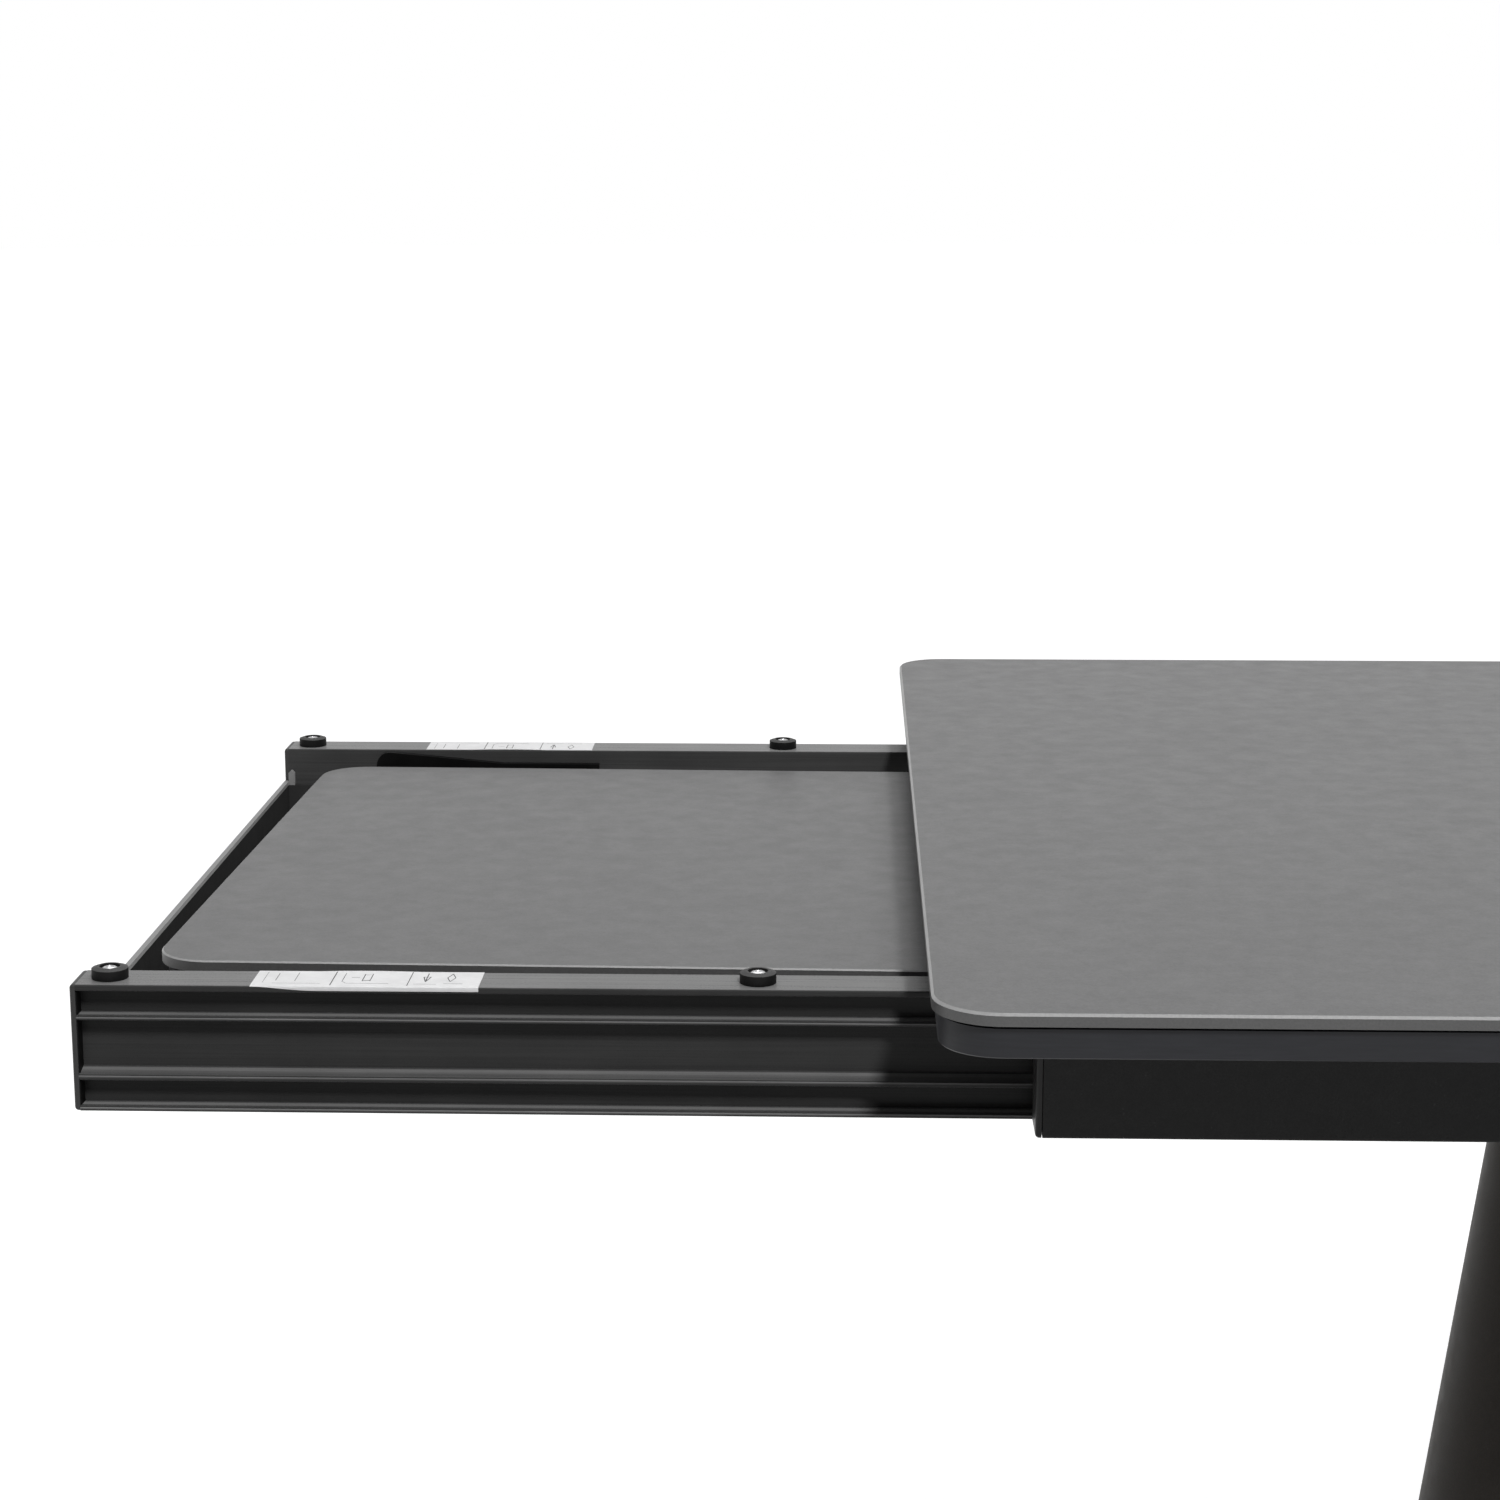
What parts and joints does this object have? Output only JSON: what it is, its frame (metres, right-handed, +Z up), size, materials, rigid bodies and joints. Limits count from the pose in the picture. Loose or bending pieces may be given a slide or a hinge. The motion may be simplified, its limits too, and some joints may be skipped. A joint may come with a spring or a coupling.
{
  "type": "extending dining table",
  "caption": "Extending table with a stone-look slab top on two tapered columns, and a pulled-out frame of grooved rails that stores the spare leaf lengthwise under the top.",
  "frame": {"origin": "on the floor under the middle of the table's outline with its extension frame pulled out", "axes": "+X along the table, with the extension frame at the -X end; +Y from the front to the back; +Z up"},
  "size_m": [1.8176, 0.9, 0.755],
  "materials": {
    "ceramic_slab": "matte stone-look ceramic",
    "bonding_layer": "matte",
    "dark_board": "satin dark lacquer",
    "beam_paint": "fine textured powder coat",
    "cap_plastic": "satin",
    "zinc_screw": "zinc plated",
    "foot_plastic": "matte",
    "column_paint": "fine textured powder coat",
    "rail_aluminium": "dark grey anodised",
    "stop_aluminium": "satin",
    "grey_strip": "matte",
    "bar_paint": "fine textured powder coat",
    "glide_plastic": "matte",
    "guide_plastic": "matte",
    "black_rubber": "matte",
    "white_label": "smooth film",
    "landing_plastic": "matte"
  },
  "bodies": {
    "table_base": {"base_plate": "column_paint", "beam_cap_back_left": "cap_plastic", "beam_cap_back_right": "cap_plastic", "beam_cap_front_left": "cap_plastic", "beam_cap_front_right": "cap_plastic", "beam_top_screws": "zinc_screw", "closing_buffer_back": "black_rubber", "closing_buffer_front": "black_rubber", "column_bolts": "zinc_screw", "column_left": "column_paint", "column_right": "column_paint", "cross_beam": "beam_paint", "foot_back_left": "foot_plastic", "foot_back_right": "foot_plastic", "foot_front_left": "foot_plastic", "foot_front_right": "foot_plastic", "glide_block_inner_back": "glide_plastic", "glide_block_inner_front": "glide_plastic", "glide_block_outer_back": "glide_plastic", "glide_block_outer_front": "glide_plastic", "main_top_board": "dark_board", "main_top_bond": "bonding_layer", "main_top_slab": "ceramic_slab", "saddle_bolts": "zinc_screw", "saddle_left": "beam_paint", "saddle_right": "beam_paint", "side_beam_back": "beam_paint", "side_beam_front": "beam_paint"},
    "extension_frame": {"bumper_1_back": "black_rubber", "bumper_1_front": "black_rubber", "bumper_2_back": "black_rubber", "bumper_2_front": "black_rubber", "bumper_screw_1_back": "zinc_screw", "bumper_screw_1_front": "zinc_screw", "bumper_screw_2_back": "zinc_screw", "bumper_screw_2_front": "zinc_screw", "end_bar": "bar_paint", "end_bar_screws": "zinc_screw", "end_bar_strip": "grey_strip", "inner_bar": "bar_paint", "label_back": "white_label", "label_front": "white_label", "leaf_guide_back": "guide_plastic", "leaf_guide_front": "guide_plastic", "mid_bar": "bar_paint", "mid_bar_strip": "glide_plastic", "rail_back": "rail_aluminium", "rail_cap_back": "cap_plastic", "rail_cap_front": "cap_plastic", "rail_front": "rail_aluminium", "travel_stop_back": "stop_aluminium", "travel_stop_front": "stop_aluminium"},
    "leaf": {"landing_block_back_left": "landing_plastic", "landing_block_back_right": "landing_plastic", "landing_block_front_left": "landing_plastic", "landing_block_front_right": "landing_plastic", "leaf_board": "dark_board", "leaf_bond": "bonding_layer", "leaf_slab": "ceramic_slab"}
  },
  "joints": [
    {"name": "frame_slide", "type": "slide", "parent": "table_base", "child": "extension_frame", "axis": [1, 0, 0], "range_m": [0, 0.44]},
    {"name": "leaf_slide", "type": "slide", "parent": "extension_frame", "child": "leaf", "axis": [-1, 0, 0], "range_m": [0, 0.17]}
  ]
}
